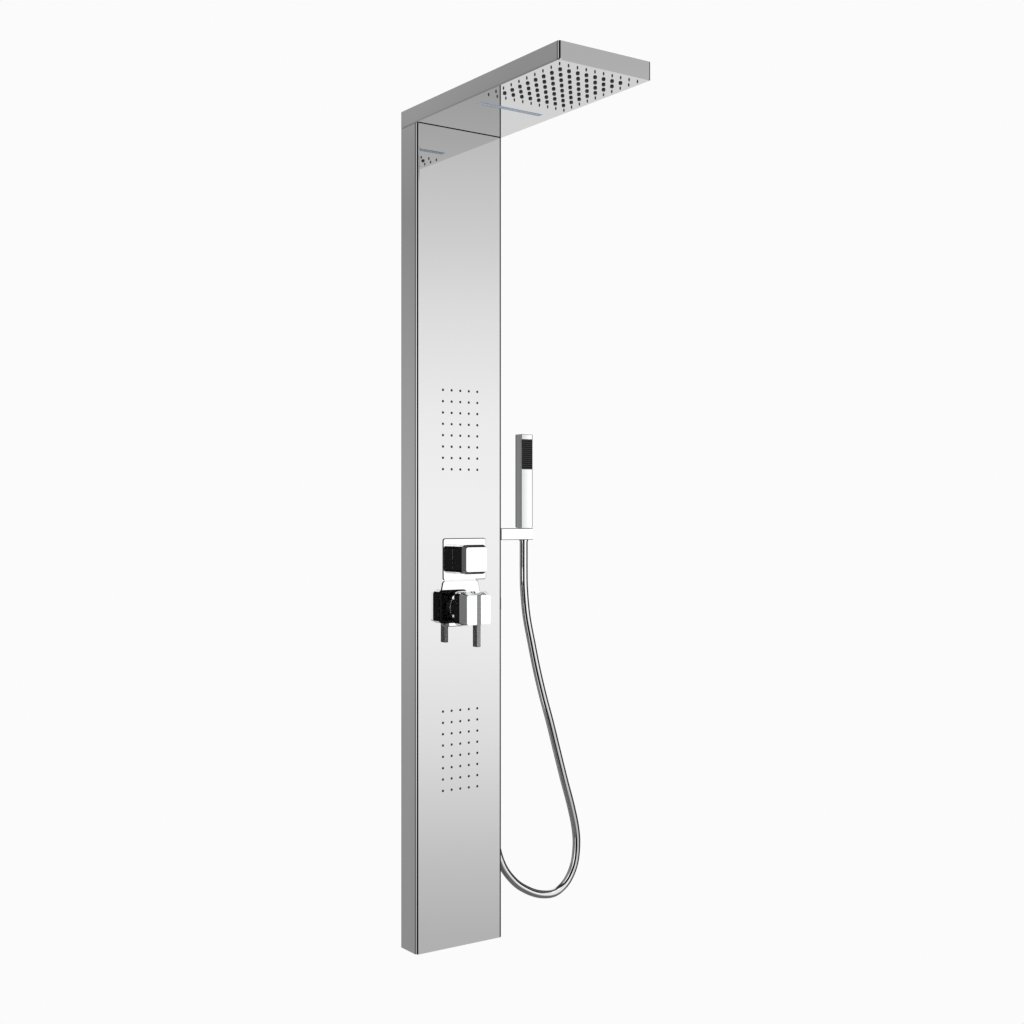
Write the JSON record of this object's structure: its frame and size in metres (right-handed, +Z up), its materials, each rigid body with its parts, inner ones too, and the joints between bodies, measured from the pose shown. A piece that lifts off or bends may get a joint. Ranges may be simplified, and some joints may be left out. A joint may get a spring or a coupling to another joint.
{
  "type": "shower panel column",
  "caption": "Slim wall-hung shower panel with a long rain hood, body jet fields, a lever mixer, a square diverter knob and a stick hand shower on a side holder with its hose.",
  "frame": {"origin": "centre of the four wall screws' pattern, on the wall's surface, at half the column's height", "axes": "+Z up along the column, +Y into the wall, +X to the right seen from the front, the side of the hand shower"},
  "size_m": [0.4122, 0.514, 1.63],
  "materials": {
    "polished_steel": "mirror-polished stainless steel",
    "plain_steel": "plain",
    "dark_silicone": "matte",
    "black_silicone": "matte",
    "white_plastic": "matte",
    "blue_grey_plastic": "gloss",
    "grey_plastic": "matte",
    "brass": "machined",
    "copper": "drawn",
    "inner_hose": "smooth",
    "chrome": "bright",
    "satin_nickel": "satin",
    "black_steel": "black oxide",
    "black_plastic": "ribbed",
    "silver_hose": "smooth silver"
  },
  "bodies": {
    "panel": {"column_casing": "polished_steel", "bottom_cap": "polished_steel", "upper_hanger": "plain_steel", "lower_hanger": "plain_steel", "upper_wall_bracket": "plain_steel", "lower_wall_bracket": "plain_steel", "hood_brackets": "plain_steel", "hood_shell": "polished_steel", "hood_tray": "polished_steel", "rain_nozzle_mat": "dark_silicone", "rain_chamber": "white_plastic", "waterfall_box": "blue_grey_plastic", "upper_jet_mat": "black_silicone", "upper_jet_chamber": "white_plastic", "lower_jet_mat": "black_silicone", "lower_jet_chamber": "white_plastic", "chamber_studs": "plain_steel", "mixer_body": "brass", "valve_gaskets": "black_silicone", "mixer_nut": "brass", "mixer_cartridge": "grey_plastic", "mixer_retaining_nut": "brass", "mixer_plate": "chrome", "mixer_sleeve": "chrome", "hot_inlet_nipple": "brass", "cold_inlet_nipple": "brass", "diverter_body": "brass", "diverter_nut": "brass", "diverter_cartridge": "grey_plastic", "diverter_retaining_nut": "brass", "diverter_plate": "chrome", "mixer_outlet_pipe": "copper", "jet_tee": "brass", "rain_hose": "inner_hose", "waterfall_hose": "inner_hose", "upper_jet_hose": "inner_hose", "lower_jet_hose": "inner_hose", "handset_feed_hose": "inner_hose", "inner_hose_nuts": "chrome", "outlet_elbow": "chrome", "outlet_locknut": "brass", "outlet_inner_elbow": "brass", "holder_bar": "chrome", "holder_screws": "plain_steel", "shower_hose": "silver_hose", "hose_lower_nut": "chrome"},
    "knob": {"diverter_spindle": "plain_steel", "diverter_knob": "chrome", "knob_grub_screw": "black_steel"},
    "temperature": {"temperature_carrier": "white_plastic"},
    "lever": {"mixer_stem": "plain_steel", "stem_pin": "plain_steel", "ball_cap": "chrome", "mixer_handle": "chrome", "lever_bar": "satin_nickel", "handle_grub_screw": "black_steel"},
    "handset": {"handset_body": "chrome", "handset_waterway": "white_plastic", "spray_pad": "black_plastic", "hose_upper_nut": "chrome"}
  },
  "joints": [
    {"name": "diverter_turn", "type": "hinge", "parent": "panel", "child": "knob", "pos_m": [0.0095, -0.05, -0.041], "axis": [0, 1, 0], "range_deg": [0, 270]},
    {"name": "temperature_turn", "type": "hinge", "parent": "panel", "child": "temperature", "pos_m": [0, -0.05, -0.135], "axis": [0, 1, 0], "range_deg": [-45, 45]},
    {"name": "flow_tilt", "type": "hinge", "parent": "temperature", "child": "lever", "pos_m": [0, -0.073, -0.135], "axis": [-1, 0, 0], "range_deg": [0, 25]},
    {"name": "handset_lift", "type": "slide", "parent": "panel", "child": "handset", "axis": [0, 0, 1], "range_m": [0, 0.05]}
  ]
}
